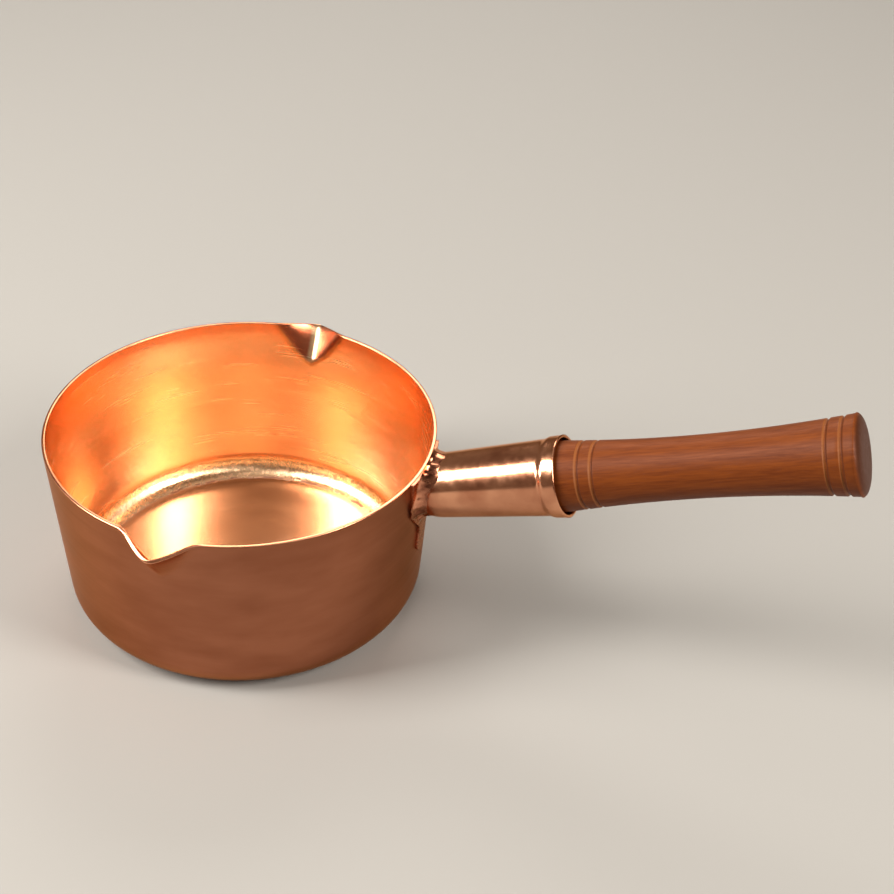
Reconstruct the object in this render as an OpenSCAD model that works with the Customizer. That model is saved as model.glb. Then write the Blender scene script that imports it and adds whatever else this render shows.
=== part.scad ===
// Copper saucepan with two pouring spouts, a brazed tube socket and a turned wooden handle.
// Frame: +Z up, the handle points along +X, the spouts along +Y and -Y.
// Origin: centre of the flat underside, on the surface that the pan stands on.

/* [Pan] */
// Outer diameter across the rim
rim_d = 160; // [140:1:200]
// Height from the underside to the rim
body_h = 79.5; // [66:0.5:110]
// How far the wall leans outwards from foot to rim
wall_lean = 6; // [2:0.5:12]
// Outer radius of the corner between wall and base
corner_r = 13; // [8:0.5:18]
// Thickness of the copper sheet
sheet_t = 1.5; // [1:0.1:2.5]

/* [Spouts] */
// Width of a spout where it leaves the rim
spout_w = 30; // [20:1:40]
// How far the spout's tip stands out past the rim
spout_reach = 9; // [5:0.5:14]
// How far below the rim the fold of the spout runs out
spout_drop = 18; // [12:1:26]
// How far the lip dips at the spout's tip
spout_dip = 4.5; // [0:0.5:7]
// Outer radius of the spout's rounded tip
spout_tip_r = 5; // [3:0.5:7]

/* [Socket] */
// Angle at which the handle rises from the rim
handle_rise = 18.9; // [10:0.1:26]
// Outer diameter of the tube where its mouth starts to flare
tube_d = 30.2; // [25:0.1:37]
// Length of the tube along its axis, from the wall to the mouth
socket_len = 60.8; // [48:0.2:80]
// Thickness of the tube
tube_t = 1.2; // [0.8:0.1:2]
// How much wider the mouth is than the tube
mouth_flare = 2.2; // [0.6:0.1:4]
// Length of the flare
flare_len = 8; // [5:0.5:12]
// How much narrower the tube is beside its neck
tube_taper = 4.2; // [1:0.2:6]
// How much narrower again the tube is at the wall
neck_pinch = 3.4; // [1:0.2:6]
// Length of the neck
neck_len = 9; // [6:0.5:14]
// How far the top of the tube's root lies below the rim
root_drop = 0.5; // [0.3:0.1:6]
// Size of the braze fillet round the tube's root
braze_r = 2.8; // [2:0.1:4]

/* [Saddle plate] */
// How far the saddle stands out past the tube's root along the rim
saddle_margin = 5.2; // [3:0.2:9]
// How far the saddle stands out past the tube's root beside its underside
saddle_waist = 1.2; // [0.6:0.2:3]
// How far below the root the saddle narrows down to its tail
saddle_point = 6.4; // [4:0.2:9]
// How far below the root the tail reaches
tail_len = 20.9; // [14:0.1:26]
// Width of the tail
tail_w = 8; // [5:0.5:10]
// Thickness of the saddle
saddle_t = 1.2; // [0.8:0.1:2]

/* [Wooden handle] */
// Length of the wood that shows, from the mouth to the end
grip_len = 114.3; // [90:0.1:150]
// How much thinner the wood is at its waist than at the mouth of the socket
grip_waist = 3.8; // [1:0.2:6]
// Diameter of the wood at its end
grip_end_d = 31; // [25:0.5:38]
// Distance from the mouth to the waist
waist_at = 49; // [30:1:60]
// Radius that rounds the end of the wood
end_round = 2.5; // [1:0.5:5]
// Length of the tenon inside the socket
tenon_len = 36; // [20:1:40]
// Clearance between the tenon and the socket
tenon_gap = 0.15; // [0.05:0.05:0.5]
// Distance from the mouth to the first groove
groove_start = 7.9; // [6:0.1:12]
// Distance from the end of the wood to the last groove
groove_end = 6.8; // [6:0.1:12]
// Distance between the two grooves of a pair
groove_gap = 5.7; // [4:0.1:8]
// Width of a groove
groove_w = 1.8; // [1:0.1:2.4]
// Depth of a groove
groove_depth = 0.6; // [0.3:0.1:1]

/* [Pin] */
// Diameter of the pin that locks the wood in the socket
pin_d = 1.8; // [1.2:0.1:2.5]
// Length of the pin
pin_len = 14; // [8:0.5:16]
// Distance from the mouth to the pin
pin_back = 5; // [3:0.5:8]
// Angle of the pin round the handle, from straight up towards -Y
pin_turn = 40; // [0:1:90]
// Clearance round the pin
pin_gap = 0.05; // [0.02:0.01:0.2]

/* [Hidden] */
$fn = 144;

copper = [0.86, 0.47, 0.26];
copper_bright = [0.93, 0.60, 0.42];
copper_braze = [0.70, 0.38, 0.26];
wood = [0.52, 0.24, 0.12];
steel = [0.45, 0.42, 0.40];

rim_r = rim_d / 2;
foot_r = rim_r - wall_lean;
lean_angle = atan2(wall_lean, body_h);
arc_steps = 14;
cut_over = 20;
hull_fn = 32;

// The spout's geometry: the shoulders lie on the rim, a little inside its outer face.
shoulder_x = spout_w / 2;
shoulder_y = sqrt(pow(rim_r - sheet_t / 2, 2) - pow(shoulder_x, 2));
spout_y = rim_r + spout_reach - spout_tip_r;
fold_z = body_h - spout_drop;
fold_y = foot_r + fold_z * tan(lean_angle);
dip_angle = atan2(spout_dip, rim_r + spout_reach - shoulder_y);

// The handle's frame: its origin is where its axis meets the outside of the wall.
neck_d = tube_d - tube_taper;
root_d = neck_d - neck_pinch;
mouth_d = tube_d + mouth_flare;
root_z = body_h - root_drop - root_d / 2;
root_x = foot_r + root_z * tan(lean_angle);
tube_inner_d = tube_d - 2 * tube_t;
tube_slope = tube_taper / 2 / (socket_len - flare_len - neck_len);
tenon_root = socket_len - tenon_len;
back = root_d;
grip_start_d = tube_inner_d;
grip_waist_d = grip_start_d - grip_waist;

// The saddle's heights below the rim
root_low = root_drop + root_d;
saddle_side = root_low - saddle_margin / 2;

// Outside radius of the wall's straight part at height z
function wall_r(z) = foot_r + z * tan(lean_angle);

// Points of a corner arc that is tangent to the base and to the wall, from base to wall
function corner(r, shift) =
    let (cy = r + shift)
    let (cx = wall_r(cy) - (r + shift) / cos(lean_angle))
    [for (i = [0 : arc_steps])
        let (a = -90 + (90 - lean_angle) * i / arc_steps)
        [cx + r * cos(a), cy + r * sin(a)]];

// Outside radius of the tube at distance s from the wall
function tube_r(s) =
    s < neck_len
        ? root_d / 2 + (neck_d - root_d) / 2 * sin(90 * s / neck_len)
        : neck_d / 2 + tube_slope * (s - neck_len);

// Radius of the flare at fraction f of its length
function flare_r(f) = tube_d / 2 + (mouth_d - tube_d) / 2 * pow(f, 2);

// Radius of the wood at distance s from the mouth
function grip_r(s) =
    s < waist_at
        ? grip_waist_d / 2 + (grip_start_d - grip_waist_d) / 2 * pow(1 - s / waist_at, 2)
        : grip_waist_d / 2
            + (grip_end_d - grip_waist_d) / 2 * pow((s - waist_at) / (grip_len - waist_at), 2);

// Places its children in the handle's frame, with +Z along the handle's axis
module on_handle() {
    translate([root_x, 0, root_z])
        rotate([0, 90 - handle_rise, 0])
            children();
}

// Everything inside the outer face of the wall, from the base to far above the rim
module inside_wall(gap) {
    rotate([0, 0, 180])
        rotate_extrude()
            polygon([
                [0, -cut_over],
                [wall_r(-cut_over) + gap, -cut_over],
                [wall_r(body_h + cut_over) + gap, body_h + cut_over],
                [0, body_h + cut_over]
            ]);
}

module pan_outside() {
    rotate_extrude()
        polygon(concat(
            [[0, 0]],
            corner(corner_r, 0),
            [[rim_r, body_h], [0, body_h]]
        ));
}

module pan_cavity() {
    rotate_extrude()
        polygon(concat(
            [[0, sheet_t]],
            corner(corner_r - sheet_t, sheet_t),
            [[wall_r(body_h + cut_over) - sheet_t, body_h + cut_over], [0, body_h + cut_over]]
        ));
}

// A spout is a folded cone: a rounded tip, two shoulders on the rim and a point on the wall.
module spout_form(inset, top) {
    hull() {
        translate([0, spout_y, body_h - spout_dip - 2 * sheet_t])
            cylinder(h = spout_dip + 2 * sheet_t + top, r = spout_tip_r - inset, $fn = hull_fn);
        for (side = [-1, 1])
            translate([side * (shoulder_x - inset), shoulder_y - inset, body_h - sheet_t])
                cylinder(h = sheet_t + top, r = sheet_t / 2, $fn = hull_fn);
        translate([0, fold_y - sheet_t / 2 - inset, fold_z + inset])
            sphere(r = sheet_t / 2, $fn = hull_fn);
    }
}

module dip_cut() {
    translate([0, shoulder_y, body_h])
        rotate([-dip_angle, 0, 0])
            translate([-spout_w, 0, 0])
                cube([2 * spout_w, 2 * cut_over, cut_over]);
}

module pan_body() {
    color(copper)
        difference() {
            union() {
                pan_outside();
                for (turn = [0, 180])
                    rotate([0, 0, turn])
                        spout_form(0, 0);
            }
            pan_cavity();
            for (turn = [0, 180])
                rotate([0, 0, turn]) {
                    spout_form(sheet_t, cut_over);
                    dip_cut();
                }
        }
}

// Outline of the saddle seen along the handle, with its top edge at y = 0
module saddle_outline() {
    polygon(concat(
        [[-tail_w / 2, -root_low - saddle_point]],
        [[-root_d / 2 - saddle_waist, -saddle_side]],
        [[-root_d / 2 - saddle_margin, 0]],
        [[root_d / 2 + saddle_margin, 0]],
        [[root_d / 2 + saddle_waist, -saddle_side]],
        [[tail_w / 2, -root_low - saddle_point]],
        [for (i = [0 : arc_steps])
            let (a = -180 * i / arc_steps)
            [tail_w / 2 * cos(a), tail_w / 2 * (1 + sin(a)) - root_low - tail_len]]
    ));
}

module saddle_plate() {
    color(copper_bright)
        difference() {
            intersection() {
                translate([0, 0, body_h])
                    rotate([90, 0, 90])
                        linear_extrude(height = rim_d)
                            saddle_outline();
                inside_wall(saddle_t);
            }
            inside_wall(0);
        }
}

// Points along the side of the tube, from behind the wall to the mouth
function tube_points(inset) = concat(
    [[tube_r(0) - inset, -back]],
    [for (i = [0 : arc_steps]) [tube_r(neck_len * i / arc_steps) - inset, neck_len * i / arc_steps]],
    [for (i = [0 : arc_steps])
        [flare_r(i / arc_steps) - inset, socket_len - flare_len * (1 - i / arc_steps)]]
);

// The same points from last to first
function backwards(points) = [for (i = [len(points) - 1 : -1 : 0]) points[i]];

// Places its children where the pin crosses the tube, with +Z from its point to its head
module on_pin() {
    on_handle()
        translate([0, 0, socket_len - pin_back])
            rotate([0, 0, pin_turn])
                rotate([0, -90, 0])
                    translate([0, 0, flare_r(1 - pin_back / flare_len) - pin_len])
                        children();
}

// Hole for the pin, open at the outside of the tube
module pin_hole() {
    on_pin()
        cylinder(h = pin_len + cut_over, d = pin_d + 2 * pin_gap);
}

module handle_socket() {
    color(copper_bright)
        difference() {
            on_handle()
                rotate_extrude()
                    polygon(concat(tube_points(0), backwards(tube_points(tube_t))));
            inside_wall(saddle_t);
            pin_hole();
        }
}

// Concave fillet of braze between the tube's root and the saddle
module socket_braze() {
    color(copper_braze)
        difference() {
            on_handle()
                rotate_extrude()
                    difference() {
                        translate([root_d / 2 - tube_t / 2, -back])
                            square([braze_r + tube_t / 2, back + braze_r + saddle_t]);
                        translate([root_d / 2 + braze_r, braze_r + saddle_t])
                            circle(r = braze_r);
                        polygon(concat([[0, -back]], tube_points(0), [[0, socket_len]]));
                    }
            inside_wall(saddle_t);
            translate([0, -rim_r, body_h])
                cube([rim_d, rim_d, cut_over]);
        }
}

// Points along the side of the wood, from its tenon to its end
function wood_points() = concat(
    [[0, tenon_root]],
    [[tube_r(tenon_root) - tube_t - tenon_gap, tenon_root]],
    [[tube_inner_d / 2 - tenon_gap, socket_len - flare_len]],
    [[grip_start_d / 2, socket_len]],
    [for (i = [1 : 2 * arc_steps])
        let (s = (grip_len - end_round) * i / (2 * arc_steps))
        [grip_r(s), socket_len + s]],
    [for (i = [1 : arc_steps])
        let (a = 90 * i / arc_steps)
        [grip_end_d / 2 - end_round * (1 - cos(a)),
         socket_len + grip_len - end_round * (1 - sin(a))]],
    [[0, socket_len + grip_len]]
);

module wooden_handle() {
    color(wood)
        difference() {
            on_handle()
                rotate_extrude()
                    difference() {
                        polygon(wood_points());
                        for (s = [groove_start, groove_start + groove_gap,
                                  grip_len - groove_end - groove_gap, grip_len - groove_end])
                            translate([grip_r(s) + groove_w / 2 - groove_depth, socket_len + s])
                                circle(d = groove_w);
                    }
            pin_hole();
        }
}

module handle_pin() {
    color(steel)
        on_pin()
            cylinder(h = pin_len, d = pin_d);
}

pan_body();
saddle_plate();
handle_socket();
socket_braze();
wooden_handle();
handle_pin();
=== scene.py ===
# %% [markdown]
# # A copper saucepan with a wooden handle
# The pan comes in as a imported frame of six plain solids. Each solid is replaced here by a detailed
# piece with the same place and size, and each piece gets a finish built from nodes.
# Lengths are in millimetres in this text and in metres in Blender, so `mm` turns one into the other.

# %% Load the frame
import bpy
import math
from mathutils import Matrix, Vector, noise


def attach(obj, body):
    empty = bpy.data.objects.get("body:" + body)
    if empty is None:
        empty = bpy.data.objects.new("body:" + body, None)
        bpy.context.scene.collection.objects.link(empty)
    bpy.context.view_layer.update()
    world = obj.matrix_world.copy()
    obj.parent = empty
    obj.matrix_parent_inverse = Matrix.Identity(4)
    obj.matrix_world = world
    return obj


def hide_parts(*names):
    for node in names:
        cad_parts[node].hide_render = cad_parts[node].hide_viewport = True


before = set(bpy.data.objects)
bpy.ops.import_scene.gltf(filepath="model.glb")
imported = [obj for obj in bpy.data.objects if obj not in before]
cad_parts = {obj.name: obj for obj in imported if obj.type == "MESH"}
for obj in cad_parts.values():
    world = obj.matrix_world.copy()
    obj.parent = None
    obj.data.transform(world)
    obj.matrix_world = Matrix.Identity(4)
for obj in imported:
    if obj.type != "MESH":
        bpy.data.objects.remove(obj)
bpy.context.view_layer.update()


def mm(length):
    return length / 1000


print("nodes:", sorted(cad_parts))

# %% [markdown]
# ## Drawing and spinning a profile
# Every piece of this pan but the saddle was turned, spun or drawn round an axis. By hand, one vertex
# is extruded from point to point to draw half of the section, and Spin carries that line round the
# axis. A ready-made cylinder would give none of the curves, so it isn't used. Spinning in several
# arcs lets one part of the round have finer steps than another. An operator acts on all that is
# selected, so `pick` selects one piece alone before each of them.

# %% Helpers for turned pieces


def pick(piece):
    bpy.ops.object.select_all(action="DESELECT")
    piece.select_set(True)
    bpy.context.view_layer.objects.active = piece


def draw_profile(name, points):
    bpy.ops.object.select_all(action="DESELECT")
    bpy.ops.mesh.primitive_plane_add(size=mm(1))
    piece = bpy.context.active_object
    piece.name = name
    piece.data.name = name
    bpy.ops.object.mode_set(mode="EDIT")
    bpy.ops.mesh.merge(type="CENTER")
    corners = [Vector((mm(across), 0, mm(along))) for across, along in points]
    bpy.ops.transform.translate(value=corners[0])
    for here, there in zip(corners, corners[1:]):
        bpy.ops.mesh.extrude_region_move(TRANSFORM_OT_translate={"value": there - here})
    return piece


def spin_round(arcs):
    bpy.ops.mesh.select_all(action="SELECT")
    for degrees, steps in arcs:
        bpy.ops.mesh.spin(steps=steps, angle=math.radians(degrees), center=(0, 0, 0), axis=(0, 0, 1))
    bpy.ops.mesh.select_all(action="SELECT")
    bpy.ops.mesh.remove_doubles(threshold=mm(0.004))
    bpy.ops.mesh.normals_make_consistent(inside=False)
    bpy.ops.mesh.select_all(action="DESELECT")
    bpy.ops.object.mode_set(mode="OBJECT")


def apply_modifier(piece, kind, **settings):
    modifier = piece.modifiers.new(kind.title(), kind)
    for key, value in settings.items():
        setattr(modifier, key, value)
    pick(piece)
    bpy.ops.object.modifier_apply(modifier=modifier.name)


def shade(piece, degrees=40):
    pick(piece)
    bpy.ops.object.shade_smooth_by_angle(angle=math.radians(degrees))


def tell(piece):
    low = [round(1000 * min(v.co[i] for v in piece.data.vertices), 1) for i in range(3)]
    high = [round(1000 * max(v.co[i] for v in piece.data.vertices), 1) for i in range(3)]
    print(f"{piece.name}: {len(piece.data.polygons)} faces, from {low} to {high} mm")


# %% [markdown]
# ## The vessel
# The real one is a single sheet of copper, 1.5 mm thick, spun to a round pan whose wall leans out by
# a few degrees. Its outer face is drawn as one line: flat base, round corner, leaning wall. The rows
# lie closer towards the rim, and the steps of the spin are finer at the two spouts, because that is
# where the sheet will be folded.

# %% Outer face of the vessel
RIM_R = 80
RIM_Z = 79.5
WALL_LEAN = 6
CORNER_R = 13
SHEET = 1.5
LEAN = math.atan2(WALL_LEAN, RIM_Z)
FOOT_R = RIM_R - WALL_LEAN
SPOUT_LOW = 60
CORNER_STEPS = 14
WALL_STEPS = 16
SPOUT_STEPS = 36


def wall_r(z):
    return FOOT_R + z * math.tan(LEAN)


corner_x = wall_r(CORNER_R) - CORNER_R / math.cos(LEAN)
profile = [(across, 0) for across in (0, 8, 18, 28, 38, 48, 56)]
for i in range(CORNER_STEPS + 1):
    turn = -math.pi / 2 + (math.pi / 2 - LEAN) * i / CORNER_STEPS
    profile.append((corner_x + CORNER_R * math.cos(turn), CORNER_R + CORNER_R * math.sin(turn)))
wall_start = profile[-1][1]
for i in range(1, WALL_STEPS + 1):
    z = wall_start + (SPOUT_LOW - wall_start) * i / WALL_STEPS
    profile.append((wall_r(z), z))
for i in range(1, SPOUT_STEPS + 1):
    z = SPOUT_LOW + (RIM_Z - SPOUT_LOW) * i / SPOUT_STEPS
    profile.append((wall_r(z), z))

pan = draw_profile("pan_sheet", profile)
spout_arcs = [(13, 26), (6, 24), (13, 26)]
spin_round([(74, 37)] + spout_arcs + [(148, 74)] + spout_arcs + [(74, 37)])
tell(pan)

# %% [markdown]
# ## The two spouts
# On the real pan the wall is pulled over a stake, which folds it into a beak: a narrow rounded tip,
# two flat flanks and soft shoulders, and below it the fold runs out on the wall. Proportional
# editing would only give a round bulge, so each vertex is moved by the rule of that fold. `across`
# is 0 at the middle of the beak and 1 at its shoulder, `up` is 1 at the rim and 0 where the fold
# ends, and the beak narrows downwards. A tent with a rounded ridge gives the two flanks, and a soft
# floor under it gives the shoulders.

# %% Fold the spouts
SPOUT_HALF = 15
SPOUT_REACH = 9
SPOUT_DROP = 18
SPOUT_DIP = 4.5
TIP_ROUND = 0.17
SHOULDER_ROUND = 0.24
FOLD_ROUND = 0.12
NARROWING = 0.6


def rounded_tent(across):
    edge = math.sqrt(1 + TIP_ROUND ** 2) - TIP_ROUND
    return 1 - (math.sqrt(across ** 2 + TIP_ROUND ** 2) - TIP_ROUND) / edge


def soft_floor(value, blend):
    if value <= -blend:
        return 0
    return max(0, value) + max(0, blend - abs(value)) ** 2 / (4 * blend)


moved = 0
for vertex in pan.data.vertices:
    x, y, z = (1000 * c for c in vertex.co)
    up = soft_floor((z - RIM_Z + SPOUT_DROP) / SPOUT_DROP, FOLD_ROUND)
    if up == 0 or abs(x) > 2 * SPOUT_HALF:
        continue
    out = math.hypot(x, y)
    tent = rounded_tent(abs(x) / (SPOUT_HALF * up ** NARROWING))
    push = SPOUT_REACH * up * soft_floor(tent, SHOULDER_ROUND)
    if push == 0:
        continue
    vertex.co.x *= (out + push) / out
    vertex.co.y *= (out + push) / out
    vertex.co.z -= mm(SPOUT_DIP * (push / SPOUT_REACH) * up ** 2)
    moved += 1
print("vertices moved for the spouts:", moved)
tell(pan)

# %% [markdown]
# ## Sheet thickness and rim
# Solidify gives the sheet its thickness towards the inside, so the outer face keeps its size. Its
# material offsets give the inside and the cut edge finishes of their own. A small bevel rounds the
# rim as a file does. The three finishes are empty here and get their nodes further down.

# %% Thickness and rim
RIM_ROUND = 0.4
for finish in ("outer", "inner", "edge"):
    pan.data.materials.append(bpy.data.materials.new("copper_" + finish))
apply_modifier(pan, "SOLIDIFY", thickness=mm(SHEET), offset=-1, use_even_offset=True,
               use_quality_normals=True, material_offset=1, material_offset_rim=2)
apply_modifier(pan, "BEVEL", width=mm(RIM_ROUND), segments=3, limit_method="ANGLE",
               angle_limit=math.radians(55))
shade(pan, 50)
tell(pan)
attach(pan, "root")
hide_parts("pan_body")

# %% [markdown]
# ## Places along the handle
# The tube and the wood share one axis, which rises at 18.9 degrees from the wall. Pieces on it are
# drawn upright with their axis on Z, and then turned and moved to the root once, with the turn
# applied to the mesh.

# %% The handle's axis
RISE = 18.9
TUBE_D = 30.2
TUBE_TAPER = 4.2
NECK_PINCH = 3.4
MOUTH_FLARE = 2.2
TUBE_LEN = 60.8
FLARE_LEN = 8
NECK_LEN = 9
TUBE_T = 1.2
ROOT_DROP = 0.5
root_r = (TUBE_D - TUBE_TAPER - NECK_PINCH) / 2
root_z = RIM_Z - ROOT_DROP - root_r
ROOT = Vector((mm(wall_r(root_z)), 0, mm(root_z)))
TILT = math.radians(90 - RISE)


def set_on_handle(piece):
    pick(piece)
    piece.rotation_euler = (0, TILT, 0)
    piece.location = ROOT
    bpy.ops.object.transform_apply(location=True, rotation=True, scale=True)


print("the axis meets the wall at", [round(1000 * c, 1) for c in ROOT], "mm")

# %% [markdown]
# ## The saddle plate
# A shield of 1.2 mm copper lies on the wall between the tube and the pan, with a narrow tail below.
# It could be cut from a shell with booleans, but a grid whose rows are set to the shield's width
# keeps clean rows of faces, which a bevel likes. The grid is laid on the wall, a hair clear of it so
# that the two faces don't flicker, and given thickness. `WIDTHS` pairs the distance below the rim
# with half of the width there.

# %% Saddle plate
SADDLE_T = 1.2
SADDLE_LONG = 44
SADDLE_CLEAR = 0.02
SADDLE_ROUND = 0.35
TAIL_HALF = 3.9
WIDTHS = [(0, 16.3), (6, 15.5), (14, 13.9), (20, 12.3), (24, 9.3), (26.5, 6.9), (29.5, 4.6),
          (33, TAIL_HALF)]


def saddle_half(drop):
    if drop > SADDLE_LONG - TAIL_HALF:
        past = (drop - SADDLE_LONG + TAIL_HALF) / TAIL_HALF
        return TAIL_HALF * math.sqrt(max(0, 1 - past * past))
    for (d0, w0), (d1, w1) in zip(WIDTHS, WIDTHS[1:]):
        if drop <= d1:
            share = (drop - d0) / (d1 - d0)
            return w0 + (w1 - w0) * share
    return TAIL_HALF


bpy.ops.object.select_all(action="DESELECT")
bpy.ops.mesh.primitive_grid_add(x_subdivisions=24, y_subdivisions=88, size=1)
saddle = bpy.context.active_object
saddle.name = saddle.data.name = "saddle_shield"
for vertex in saddle.data.vertices:
    drop = (0.5 - vertex.co.y) * SADDLE_LONG
    side = 2 * vertex.co.x * saddle_half(drop)
    z = RIM_Z - drop
    x = math.sqrt((wall_r(z) + SADDLE_CLEAR) ** 2 - side ** 2)
    vertex.co = (mm(x), mm(side), mm(z))
bpy.ops.object.mode_set(mode="EDIT")
bpy.ops.mesh.select_all(action="SELECT")
bpy.ops.mesh.remove_doubles(threshold=mm(0.01))
bpy.ops.mesh.normals_make_consistent(inside=False)
bpy.ops.object.mode_set(mode="OBJECT")
facing = saddle.data.polygons[len(saddle.data.polygons) // 2].normal.x
print("saddle faces", "outwards" if facing > 0 else "inwards")
if facing < 0:
    saddle.data.flip_normals()
apply_modifier(saddle, "SOLIDIFY", thickness=mm(SADDLE_T - 2 * SADDLE_CLEAR), offset=1,
               use_even_offset=True)
apply_modifier(saddle, "BEVEL", width=mm(SADDLE_ROUND), segments=3, limit_method="ANGLE",
               angle_limit=math.radians(50))
shade(saddle)
tell(saddle)
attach(saddle, "root")
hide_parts("saddle_plate")

# %% [markdown]
# ## The tube socket
# A coppersmith rolls this tube from sheet, taps its mouth outwards over a mandrel and necks it in at
# the pan. The mouth widens in a short step and goes on as a collar, so the mirror of its surface
# breaks in a thin ring there. Its outer line and its inner line are drawn as one closed loop and
# spun. The root is cut to the saddle with a boolean, because the cut follows a round wall at a slant.

# %% Tube socket
STEP_SHARE = 0.38
STEP_RISE = 0.7
FLARE_STEPS = 24
CUT_LOW = 20
CUT_HIGH = 110


def tube_r(s):
    neck_r = root_r + NECK_PINCH / 2
    if s < NECK_LEN:
        return root_r + NECK_PINCH / 2 * math.sin(math.pi / 2 * max(0, s) / NECK_LEN)
    return neck_r + TUBE_TAPER / 2 * (s - NECK_LEN) / (TUBE_LEN - FLARE_LEN - NECK_LEN)


def flare_r(f):
    step = min(1, f / STEP_SHARE)
    collar = step * step * (3 - 2 * step)
    return TUBE_D / 2 + MOUTH_FLARE / 2 * (STEP_RISE * collar + (1 - STEP_RISE) * f ** 2)


outer = [(tube_r(0), -12), (tube_r(0), -4)]
outer += [(tube_r(NECK_LEN * i / 10), NECK_LEN * i / 10) for i in range(11)]
outer += [(tube_r(s), s) for s in (14, 22, 30, 38, 46, 50, 52)]
for i in range(FLARE_STEPS + 1):
    share = i / FLARE_STEPS
    outer.append((flare_r(share), TUBE_LEN - FLARE_LEN * (1 - share)))
inner = [(across - TUBE_T, along) for across, along in outer]
lip = TUBE_T / 2
lip_x = outer[-1][0] - lip
rounded = []
for i in range(1, 8):
    turn = math.pi * i / 8
    rounded.append((lip_x + lip * math.cos(turn), TUBE_LEN - lip + lip * math.sin(turn)))
outer[-1] = (outer[-1][0], TUBE_LEN - lip)
inner[-1] = (inner[-1][0], TUBE_LEN - lip)
loop = outer + rounded + inner[::-1] + outer[:1]
tube = draw_profile("tube_wall", loop)
spin_round([(360, 128)])
set_on_handle(tube)

bpy.ops.object.select_all(action="DESELECT")
bpy.ops.mesh.primitive_cone_add(vertices=512, radius1=mm(wall_r(CUT_LOW) + SADDLE_T),
                                radius2=mm(wall_r(CUT_HIGH) + SADDLE_T),
                                depth=mm(CUT_HIGH - CUT_LOW),
                                location=(0, 0, mm((CUT_LOW + CUT_HIGH) / 2)))
cutter = bpy.context.active_object
apply_modifier(tube, "BOOLEAN", operation="DIFFERENCE", solver="EXACT", object=cutter)
bpy.data.objects.remove(cutter)
shade(tube, 35)
tell(tube)
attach(tube, "root")
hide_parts("handle_socket")

# %% [markdown]
# ## The braze
# Brazing metal ran round the root and froze in lumps, with pits where the flux burned off. An even
# fillet is spun first, as if the tube met a flat plate. Each vertex is then carried along the axis
# until its foot stands on the saddle, and noise pushes it in and out, which gives the lumps real
# outlines instead of painted ones. More metal is heaped on the upper side, where it was fed in.

# %% Braze round the root
BRAZE_R = 3.2
BRAZE_LONG = 5.5
BRAZE_STEPS = 18
BRAZE_TOP = RIM_Z - 0.7
SUNK = 0.1
HEAP_SIDE = Vector((-0.2, -0.62, 0.76))
BIG_LUMPS = 200
SMALL_LUMPS = 430
SWELLING = 0.55
braze_loop = [(root_r - 0.3, -SUNK), (root_r - 0.3, BRAZE_LONG + 0.6)]
for i in range(BRAZE_STEPS + 1):
    turn = math.pi + math.pi / 2 * i / BRAZE_STEPS
    braze_loop.append((root_r + BRAZE_R * (1 + math.cos(turn)),
                       BRAZE_LONG * (1 + math.sin(turn))))
braze_loop.append((root_r + BRAZE_R, -SUNK))
braze = draw_profile("braze_bead", braze_loop + braze_loop[:1])
spin_round([(360, 200)])
set_on_handle(braze)
axis = Vector((math.cos(math.radians(RISE)), 0, math.sin(math.radians(RISE))))


def saddle_meets(start):
    low, high = -14, 14
    while high - low > 0.001:
        middle = (low + high) / 2
        spot = 1000 * start + axis * middle
        if math.hypot(spot.x, spot.y) < wall_r(spot.z) + SADDLE_T:
            low = middle
        else:
            high = middle
    return low


for vertex in braze.data.vertices:
    above = 1000 * (vertex.co - ROOT).dot(axis)
    away = vertex.co - ROOT - axis * mm(above)
    clear = 1000 * away.length - root_r
    away.normalize()
    foot = saddle_meets(ROOT + away * mm(root_r + clear))
    heap = max(0, away.dot(HEAP_SIDE)) ** 2
    where = ROOT + away * mm(root_r + 1.5) + axis * mm(foot)
    lump = 1.3 * noise.noise(where * BIG_LUMPS) + 0.5 * noise.noise(where * SMALL_LUMPS)
    swell = 1 + SWELLING * (lump + 0.8 * heap)
    out = tube_r(foot + above) + (clear * swell if clear > 0 else clear)
    foot = saddle_meets(ROOT + away * mm(out))
    along = foot + (above * swell if above > 0 else above)
    vertex.co = ROOT + away * mm(out) + axis * mm(along)
    if vertex.co.z > mm(BRAZE_TOP) and above < SUNK:
        vertex.co.z = mm(BRAZE_TOP)
shade(braze, 60)
tell(braze)
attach(braze, "root")
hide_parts("socket_braze")

# %% [markdown]
# ## The wooden grip
# The grip is turned on a lathe: a tenon that goes into the tube, a slim waist, a swelling towards
# the end, two pairs of cut grooves and a rounded end. All of it is one line, so one spin makes it.
# Its points lie close together only at the grooves.

# %% Wooden grip
GRIP_LEN = 114.3
WAIST_AT = 49
GRIP_END_D = 31
GRIP_WAIST = 3.8
END_ROUND = 2.5
TENON_LEN = 36
TENON_GAP = 0.15
GROOVES = (7.9, 13.6, 101.8, 107.5)
GROOVE_W = 1.8
GROOVE_DEEP = 0.6
start_r = TUBE_D / 2 - TUBE_T
waist_r = start_r - GRIP_WAIST / 2


def grip_r(s):
    if s < WAIST_AT:
        r = waist_r + (start_r - waist_r) * (1 - s / WAIST_AT) ** 2
    else:
        r = waist_r + (GRIP_END_D / 2 - waist_r) * ((s - WAIST_AT) / (GRIP_LEN - WAIST_AT)) ** 2
    for groove in GROOVES:
        away = abs(s - groove) / (GROOVE_W / 2)
        if away < 1:
            r -= GROOVE_DEEP * (1 - away ** 2)
    return r


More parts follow.
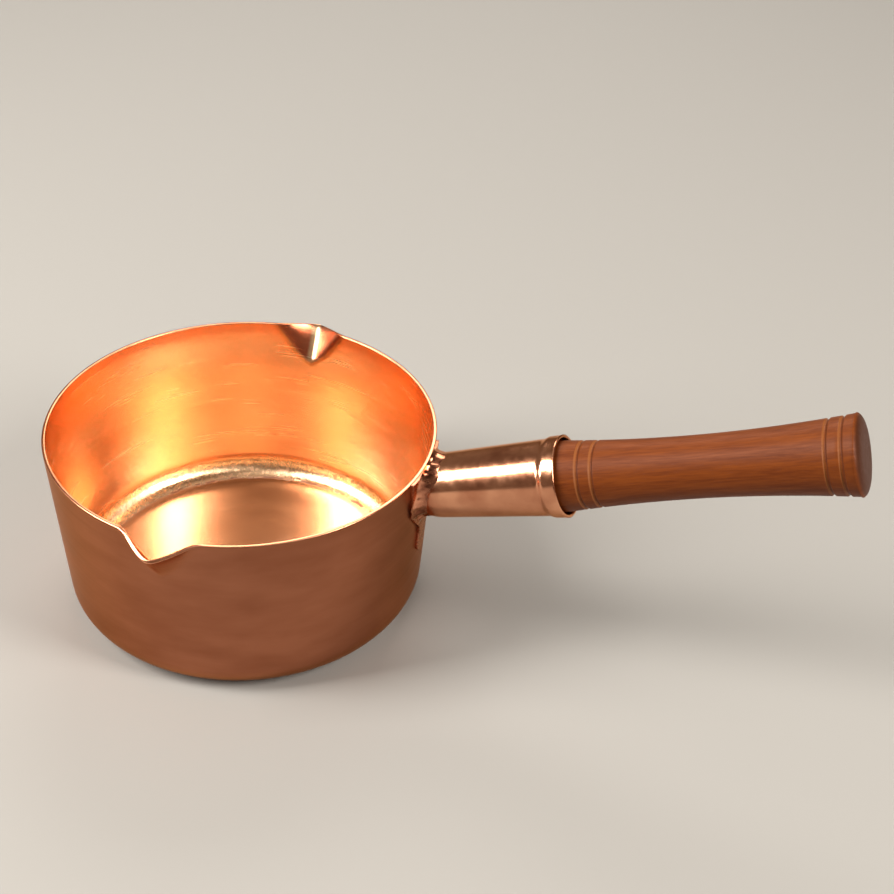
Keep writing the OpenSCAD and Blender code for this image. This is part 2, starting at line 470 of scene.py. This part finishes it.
FINE_STEP = 0.225
COARSE_STEP = 1.2
NEAR_GROOVE = 2.2
END_STEPS = 24
stations = [0.0]
while stations[-1] < GRIP_LEN - END_ROUND:
    s = stations[-1]
    close = min(abs(s - groove) for groove in GROOVES) < NEAR_GROOVE
    stations.append(min(s + (FINE_STEP if close else COARSE_STEP), GRIP_LEN - END_ROUND))
tenon_s = TUBE_LEN - TENON_LEN
tenon_r = tube_r(tenon_s) - TUBE_T - TENON_GAP
wood_line = [(0, tenon_s), (tenon_r - 1, tenon_s), (tenon_r, tenon_s + 1)]
wood_line += [(start_r - TENON_GAP, TUBE_LEN - FLARE_LEN)]
wood_line += [(grip_r(s), TUBE_LEN + s) for s in stations]
for i in range(1, END_STEPS + 1):
    turn = math.pi / 2 * i / END_STEPS
    wood_line.append((GRIP_END_D / 2 * math.cos(turn) ** 0.32,
                      TUBE_LEN + GRIP_LEN - END_ROUND * (1 - math.sin(turn) ** 1.3)))
wood_line[-1] = (0, TUBE_LEN + GRIP_LEN)
grip = draw_profile("turned_grip", wood_line)
spin_round([(360, 128)])
set_on_handle(grip)
shade(grip, 30)
tell(grip)
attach(grip, "root")
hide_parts("wooden_handle")

# %% [markdown]
# ## The pin
# A small nail through the tube keeps the wood from turning. Its head is hammered nearly flush, so a
# short shank with a low domed head is enough.

# %% Locking pin
PIN_R = 0.9
PIN_BACK = 5
PIN_TURN = 40
PIN_LEN = 14
pin_top = flare_r(1 - PIN_BACK / FLARE_LEN)
pin_foot = pin_top - PIN_LEN
pin_line = [(0, pin_foot + 0.1), (0.45, pin_foot + 0.8), (PIN_R, pin_foot + 2)]
pin_line += [(PIN_R, pin_top - 0.25), (0.7, pin_top - 0.08), (0.4, pin_top - 0.01), (0, pin_top)]
pin = draw_profile("locking_pin", pin_line)
spin_round([(360, 40)])
pin.rotation_euler = (Matrix.Rotation(math.radians(PIN_TURN), 3, "Z")
                      @ Matrix.Rotation(-math.pi / 2, 3, "Y")).to_euler()
pin.location = (0, 0, mm(TUBE_LEN - PIN_BACK))
pick(pin)
bpy.ops.object.transform_apply(location=True, rotation=True, scale=True)
set_on_handle(pin)
shade(pin)
tell(pin)
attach(pin, "root")
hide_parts("handle_pin")

# %% [markdown]
# ## Finishes
# Each finish is a small tree of nodes that reads Object coordinates, so the pattern stays on the
# metal and the wood. `add` adds one node and its settings in one line, `noisy` is the noise that
# breaks up every surface here, and `ramp` turns such a value into a colour or a grey.

# %% Node helpers


def add(tree, kind, links=(), **values):
    node = tree.nodes.new("ShaderNode" + kind)
    for key, value in values.items():
        if hasattr(node, key):
            setattr(node, key, value)
        else:
            node.inputs[key.replace("_", " ")].default_value = value
    for key, source in dict(links).items():
        tree.links.new(source, node.inputs[key])
    return node


def new_finish(name):
    material = bpy.data.materials.get(name) or bpy.data.materials.new(name)
    material.use_nodes = True
    tree = material.node_tree
    return material, tree, tree.nodes["Principled BSDF"]


def ramp(tree, source, stops):
    node = tree.nodes.new("ShaderNodeValToRGB")
    tree.links.new(source, node.inputs[0])
    elements = node.color_ramp.elements
    while len(elements) < len(stops):
        elements.new(0.5)
    for element, (place, colour) in zip(elements, stops):
        element.position = place
        element.color = colour if len(colour) == 4 else (*colour, 1)
    return node.outputs[0]


def grey(value):
    return (value, value, value)


def noisy(tree, where, scale, detail):
    return add(tree, "TexNoise", {"Vector": where}, Scale=scale, Detail=detail).outputs["Fac"]


# %% [markdown]
# ## Coordinates that follow the lathe
# Spinning and polishing marks run round the pan, on the wall and on the floor alike. A noise that
# is stretched along one straight axis can't follow them. So the direction from the pan's axis is kept
# short and the sum of radius and height is made long: noise on that runs in rings everywhere.

# %% Rings round an axis


def parts_of(tree, place):
    flat = add(tree, "VectorMath", {0: place}, operation="MULTIPLY")
    flat.inputs[1].default_value = (1, 1, 0)
    radius = add(tree, "VectorMath", {0: flat.outputs[0]}, operation="LENGTH").outputs["Value"]
    facing = add(tree, "VectorMath", {0: flat.outputs[0]}, operation="NORMALIZE").outputs[0]
    height = add(tree, "SeparateXYZ", {0: place}).outputs[2]
    return radius, facing, height


def calc(tree, operation, first, second, third=None):
    node = add(tree, "Math", operation=operation)
    for slot, value in enumerate((first, second, third)):
        if isinstance(value, (int, float)):
            node.inputs[slot].default_value = value
        elif value is not None:
            tree.links.new(value, node.inputs[slot])
    return node.outputs[0]


def rings(tree, place, around, across):
    radius, facing, height = parts_of(tree, place)
    sides = add(tree, "SeparateXYZ", {0: facing})
    x = calc(tree, "MULTIPLY", sides.outputs[0], around)
    y = calc(tree, "MULTIPLY", sides.outputs[1], around)
    z = calc(tree, "MULTIPLY", calc(tree, "ADD", radius, height), across)
    return add(tree, "CombineXYZ", {0: x, 1: y, 2: z}).outputs[0]


def blend(tree, amount, first, second):
    node = add(tree, "Mix", data_type="RGBA")
    for slot, value in ((0, amount), (6, first), (7, second)):
        if isinstance(value, tuple):
            node.inputs[slot].default_value = (*value, 1)
        elif isinstance(value, (int, float)):
            node.inputs[slot].default_value = value
        else:
            tree.links.new(value, node.inputs[slot])
    return node.outputs[2]


def band(tree, value, low, high, soft):
    rise = add(tree, "MapRange", {0: value}, interpolation_type="SMOOTHSTEP")
    fall = add(tree, "MapRange", {0: value}, interpolation_type="SMOOTHSTEP")
    for node, numbers in ((rise, (low - soft, low, 0, 1)), (fall, (high, high + soft, 1, 0))):
        for slot, number in enumerate(numbers):
            node.inputs[slot + 1].default_value = number
    return calc(tree, "MULTIPLY", rise.outputs[0], fall.outputs[0])


# %% [markdown]
# ## Copper inside and outside
# Both faces are bare copper with no lacquer. The inside was burnished on the lathe and is the
# brighter one, and where light bounces from wall to wall the copper's own colour deepens by itself.
# The outside is duller. Anisotropy along the rings spreads each highlight up and down, as brushing
# does, and fine noise on the rings breaks it up.

# %% Copper of the vessel
GLANCING_TINT = (1, 0.72, 0.52, 1)


def spun_copper(name, dark, bright, rough, bump, anisotropic):
    material, tree, shader = new_finish(name)
    place = add(tree, "TexCoord").outputs["Object"]
    shader.inputs["Metallic"].default_value = 1
    shader.inputs["Specular Tint"].default_value = GLANCING_TINT
    shader.inputs["Anisotropic"].default_value = anisotropic
    tangent = add(tree, "Tangent", direction_type="RADIAL", axis="Z")
    tree.links.new(tangent.outputs[0], shader.inputs["Tangent"])
    cloud = noisy(tree, place, 22.0, 3.0)
    lines = noisy(tree, rings(tree, place, 1.6, 1300), 1.0, 4.0)
    soft = noisy(tree, rings(tree, place, 3, 110), 1.0, 3.0)
    mixed = calc(tree, "MULTIPLY_ADD", cloud, 0.5, calc(tree, "MULTIPLY", soft, 0.5))
    colour = ramp(tree, mixed, [(0.38, dark), (0.62, bright)])
    wear = calc(tree, "MULTIPLY_ADD", lines, 0.6, calc(tree, "MULTIPLY", soft, 0.4))
    roughness = ramp(tree, wear, [(0.35, grey(rough[0])), (0.65, grey(rough[1]))])
    lift = add(tree, "Bump", {"Height": lines}, Strength=bump, Distance=mm(0.04))
    tree.links.new(colour, shader.inputs["Base Color"])
    tree.links.new(roughness, shader.inputs["Roughness"])
    tree.links.new(lift.outputs[0], shader.inputs["Normal"])
    return tree, shader, place, colour, roughness, lift


spun_copper("copper_outer", (0.32, 0.112, 0.057), (0.40, 0.15, 0.08), (0.30, 0.38), 0.2, 0.45)
spun_copper("copper_edge", (0.66, 0.27, 0.145), (0.78, 0.34, 0.19), (0.22, 0.30), 0.2, 0.0)
inside = spun_copper("copper_inner", (0.79, 0.485, 0.265), (0.87, 0.575, 0.35), (0.22, 0.28),
                     0.11, 0.85)
print("finishes on the pan:", [m.name for m in pan.data.materials])

# %% [markdown]
# ## The planished corner inside
# Where the floor turns up into the wall, the lathe tool can't reach. There the maker has tapped the
# copper down by hand: the corner is mottled, and a thin dark line follows the floor's edge in
# dashes. The band between two radii picks out that corner, and noise moves its border.

# %% Corner of the inside
tree, shader, place, colour, roughness, lift = inside
radius, _, height = parts_of(tree, place)
wander = noisy(tree, place, 130.0, 4.0)
shifted = calc(tree, "MULTIPLY_ADD", wander, mm(2.6), calc(tree, "ADD", radius, -mm(1.3)))
low_down = band(tree, height, mm(-1), mm(9), mm(3))
dashes = ramp(tree, noisy(tree, rings(tree, place, 9, 60), 1.0, 5.0),
              [(0.44, grey(0)), (0.56, grey(1))])
edge = band(tree, shifted, mm(66.2), mm(66.8), mm(0.35))
line = calc(tree, "MULTIPLY", edge, calc(tree, "MULTIPLY", dashes, low_down))
corner = calc(tree, "MULTIPLY", band(tree, shifted, mm(67), mm(72), mm(0.8)), low_down)
specks = ramp(tree, noisy(tree, place, 520.0, 4.0), [(0.52, grey(0)), (0.66, grey(1))])
mottle = calc(tree, "MULTIPLY", corner, specks)
colour = blend(tree, calc(tree, "MULTIPLY", mottle, 0.55), colour, (0.62, 0.30, 0.20))
colour = blend(tree, calc(tree, "MULTIPLY", line, 0.85), colour, (0.20, 0.07, 0.045))
print("the corner's line lies at radius 66.2 to 66.8 mm and its taps out to 72 mm")

# %% [markdown]
# ## Painted shade in the spouts, tarnish under the rim and a paler floor
# The flanks of the folds in the spouts are painted a deep red as shade. The fold is found by how
# far the sheet lies outside the plain cone, and its ridge is left unpainted. A narrow strip under
# the rim is tarnished too. The floor is shinier than the wall, and its paler tint is painted sheen.

# %% Painted shade, tarnish and painted sheen on the inside
cone_r = calc(tree, "MULTIPLY_ADD", height, math.tan(LEAN), mm(FOOT_R - SHEET))
bulge = calc(tree, "SUBTRACT", radius, cone_r)
ridge = calc(tree, "ABSOLUTE", add(tree, "SeparateXYZ", {0: place}).outputs[0], 0)
flanks = calc(tree, "MULTIPLY", band(tree, bulge, mm(0.7), mm(20), mm(0.6)),
              band(tree, ridge, mm(2.6), mm(20), mm(1.6)))
# Painted shade: the flanks of the spouts' folds are darkened to a deep red.
painted_spout_shade = calc(tree, "MULTIPLY", flanks, calc(tree, "MULTIPLY_ADD", wander, 0.6, 0.55))
colour = blend(tree, painted_spout_shade, colour, (0.52, 0.10, 0.036))
plain = calc(tree, "MULTIPLY", band(tree, height, mm(-1), mm(1.7), mm(1.2)), 0.7)
# The paler tint on the floor is a painted sheen that whitens its highlights; its lower roughness is
# real.
colour = blend(tree, plain, colour, (0.96, 0.58, 0.46))
uneven = calc(tree, "MULTIPLY_ADD", wander, mm(2), height)
near_rim = calc(tree, "MULTIPLY", band(tree, uneven, mm(77.5), mm(90), mm(2.5)), 0.35)
colour = blend(tree, near_rim, colour, (0.60, 0.20, 0.10))
tree.links.new(colour, shader.inputs["Base Color"])
roughness = blend(tree, plain, roughness, grey(0.16))
dull = calc(tree, "MAXIMUM", line, calc(tree, "MULTIPLY", mottle, 0.5))
roughness = blend(tree, dull, roughness, grey(0.5))
tree.links.new(roughness, shader.inputs["Roughness"])
taps = calc(tree, "MULTIPLY", noisy(tree, place, 260.0, 3.0), corner)
tapped = add(tree, "Bump", {"Height": taps, "Normal": lift.outputs[0]},
             Strength=0.3, Distance=mm(0.5))
tree.links.new(tapped.outputs[0], shader.inputs["Normal"])
print("nodes in the inner copper:", len(tree.nodes))

# %% [markdown]
# ## Polished fittings and the braze
# The tube was buffed after brazing, so it mirrors the room. The saddle behind it is duller and more
# tarnished, because the wheel didn't reach it. The braze has painted shade in its pits and painted
# highlights on its lumps, which pointiness would give only in one renderer, so noise does it.

# %% Copper of the fittings


def buffed_copper(name, dark, bright, rough, scale, bump, deep):
    material, tree, shader = new_finish(name)
    place = add(tree, "TexCoord").outputs["Object"]
    shader.inputs["Metallic"].default_value = 1
    shader.inputs["Specular Tint"].default_value = GLANCING_TINT
    cloud = noisy(tree, place, scale, 4.0)
    fine = noisy(tree, place, scale * 6, 3.0)
    colour = ramp(tree, cloud, [(0.35, dark), (0.6, bright)])
    roughness = ramp(tree, fine, [(0.35, grey(rough[0])), (0.65, grey(rough[1]))])
    tree.links.new(colour, shader.inputs["Base Color"])
    tree.links.new(roughness, shader.inputs["Roughness"])
    lift = add(tree, "Bump", {"Height": cloud}, Strength=bump, Distance=mm(deep))
    tree.links.new(lift.outputs[0], shader.inputs["Normal"])
    return material


polish = buffed_copper("copper_polished", (0.52, 0.21, 0.115), (0.74, 0.35, 0.20), (0.15, 0.21),
                       60.0, 0.06, 0.15)
plate = buffed_copper("copper_saddle", (0.28, 0.10, 0.055), (0.48, 0.20, 0.12), (0.24, 0.34),
                      110.0, 0.25, 0.3)
# The braze's wide dark-to-bright range is painted shade in its pits and painted highlights on its
# lumps.
lumps = buffed_copper("copper_braze", (0.20, 0.065, 0.036), (0.76, 0.32, 0.185), (0.12, 0.28),
                      150.0, 0.3, 0.4)
tube.data.materials.clear()
tube.data.materials.append(polish)
saddle.data.materials.append(plate)
braze.data.materials.clear()
braze.data.materials.append(lumps)

# %% [markdown]
# ## Wood of the grip
# A red-brown hardwood with a fine straight grain, rubbed with oil. The Mapping node turns the
# coordinates onto the handle's axis, so the grain can be stretched along it. Short dark pores lie
# over soft streaks. Each groove gets a painted shade line on its far side and a painted highlight
# on its near side, both found by distance along the axis. The rounded end is darkened as painted
# shade.

# %% Turned wood
material, tree, shader = new_finish("handle_wood")
place = add(tree, "TexCoord").outputs["Object"]
along = add(tree, "Mapping", {"Vector": place}, vector_type="TEXTURE", Location=ROOT,
            Rotation=(0, TILT, 0)).outputs[0]
streaks = add(tree, "Mapping", {"Vector": along}, Scale=(1, 1, 0.07)).outputs[0]
short = add(tree, "Mapping", {"Vector": along}, Scale=(1, 1, 0.16)).outputs[0]
soft = noisy(tree, streaks, 420.0, 4.0)
fine = noisy(tree, streaks, 1500.0, 3.0)
pores = ramp(tree, noisy(tree, short, 2200.0, 2.0), [(0.60, grey(0)), (0.72, grey(1))])
grain = calc(tree, "MULTIPLY_ADD", soft, 0.5, calc(tree, "MULTIPLY", fine, 0.5))
colour = ramp(tree, grain, [(0.35, (0.10, 0.020, 0.0025)), (0.65, (0.165, 0.038, 0.005))])
colour = blend(tree, calc(tree, "MULTIPLY", pores, 0.45), colour, (0.12, 0.03, 0.012))
tree.links.new(ramp(tree, grain, [(0.3, grey(0.54)), (0.7, grey(0.42))]),
               shader.inputs["Roughness"])
lift = add(tree, "Bump", {"Height": calc(tree, "SUBTRACT", grain, pores)},
           Strength=0.15, Distance=mm(0.2))
tree.links.new(lift.outputs[0], shader.inputs["Normal"])
shader.inputs["Specular IOR Level"].default_value = 0.13
grip.data.materials.append(material)
print("nodes in the plain wood:", len(tree.nodes))

# %% Painted shade and highlight at the grooves
FAR_SIDE = 0.4
NEAR_SIDE = -0.75
steps = add(tree, "SeparateXYZ", {0: along}).outputs[2]
groove_shade = 0
groove_highlight = 0
for groove in GROOVES:
    far_side = mm(TUBE_LEN + groove + FAR_SIDE)
    near_side = mm(TUBE_LEN + groove + NEAR_SIDE)
    groove_shade = calc(tree, "ADD", band(tree, steps, far_side, far_side + mm(0.3), mm(0.35)), groove_shade)
    groove_highlight = calc(tree, "ADD", band(tree, steps, near_side, near_side + mm(0.4), mm(0.35)), groove_highlight)
# Painted shade darkens each groove's far side, and a painted highlight lightens its near side.
colour = blend(tree, calc(tree, "MULTIPLY", groove_shade, 0.6), colour, (0.05, 0.013, 0.006))
colour = blend(tree, calc(tree, "MULTIPLY", groove_highlight, 0.4), colour, (0.42, 0.15, 0.045))
# Painted shade darkens the rounded end of the grip.
painted_end_shade = band(tree, steps, mm(TUBE_LEN + GRIP_LEN - 0.9), mm(400), mm(1.2))
colour = blend(tree, calc(tree, "MULTIPLY", painted_end_shade, 0.85), colour, (0.045, 0.012, 0.004))
tree.links.new(colour, shader.inputs["Base Color"])
print("nodes in the finished wood:", len(tree.nodes))

# %% Steel of the pin
material, tree, shader = new_finish("pin_steel")
shader.inputs["Metallic"].default_value = 1
shader.inputs["Base Color"].default_value = (0.3, 0.26, 0.24, 1)
shader.inputs["Roughness"].default_value = 0.4
pin.data.materials.append(material)
print("the pin's finish:", material.name)

# %% [markdown]
# ## Floor, light and camera
# Copper shows what it mirrors, so large soft boxes make its highlights and a plain pale floor keeps
# the rest quiet. One box stands on the left of the pan and one on its right, for the bright bands on
# the wall and the two wedges on the pan's floor. A weaker one behind and a dim one above fill the
# room. The camera is a longer lens from in front and above, and colours are shown as they are.

# %% Floor
bpy.ops.object.select_all(action="DESELECT")
bpy.ops.mesh.primitive_plane_add(size=6, location=(0, 0, mm(-0.2)))
floor = bpy.context.active_object
floor.name = floor.data.name = "floor"
material, tree, shader = new_finish("floor_pale")
shader.inputs["Base Color"].default_value = (0.30, 0.287, 0.268, 1)
shader.inputs["Roughness"].default_value = 0.8
floor.data.materials.append(material)
print("stage:", floor.name)

# %% Lights
WARM_WHITE = (1, 0.97, 0.92)
AIM_AT = Vector((0, 0, mm(50)))


def softbox(name, direction, distance, size, watts):
    aim = Vector(direction).normalized()
    light = bpy.data.lights.new(name, "AREA")
    light.shape = "RECTANGLE"
    light.size, light.size_y = size
    light.energy = watts
    light.color = WARM_WHITE
    box = bpy.data.objects.new(name, light)
    bpy.context.scene.collection.objects.link(box)
    box.location = AIM_AT + aim * distance
    box.rotation_mode = "QUATERNION"
    box.rotation_quaternion = (-aim).to_track_quat("-Z", "Y")


softbox("left_box", (-0.70, -0.40, 0.60), 1.4, (0.5, 1.3), 44)
softbox("right_box", (0.80, -0.15, 0.58), 1.6, (0.42, 0.9), 27)
softbox("top_box", (-0.15, 0.75, 0.70), 1.6, (1.0, 0.6), 12)
softbox("sky_box", (-0.05, 0.30, 1.0), 1.8, (1.6, 1.2), 2.4)

world = bpy.data.worlds.new("studio")
bpy.context.scene.world = world
world.use_nodes = True
background = world.node_tree.nodes["Background"]
background.inputs["Color"].default_value = (1.0, 0.80, 0.62, 1)
background.inputs["Strength"].default_value = 0.19
print("lights:", sorted(light.name for light in bpy.data.lights))

# %% Camera
camera_data = bpy.data.cameras.new("camera")
camera_data.sensor_width = 36
camera_data.lens = 66.44
camera_data.clip_start = 0.01
camera = bpy.data.objects.new("camera", camera_data)
bpy.context.scene.collection.objects.link(camera)
camera.location = (mm(232.7), mm(-506.7), mm(467.7))
HEADING = math.radians(105.97)
PITCH = math.radians(35.68)
ROLL = math.radians(-2.28)
forward = Vector((math.cos(HEADING) * math.cos(PITCH), math.sin(HEADING) * math.cos(PITCH),
                  -math.sin(PITCH)))
camera.rotation_mode = "QUATERNION"
camera.rotation_quaternion = (forward.to_track_quat("-Z", "Y").to_matrix()
                              @ Matrix.Rotation(-ROLL, 3, "Z")).to_quaternion()
bpy.context.scene.camera = camera
bpy.context.scene.view_settings.view_transform = "Standard"
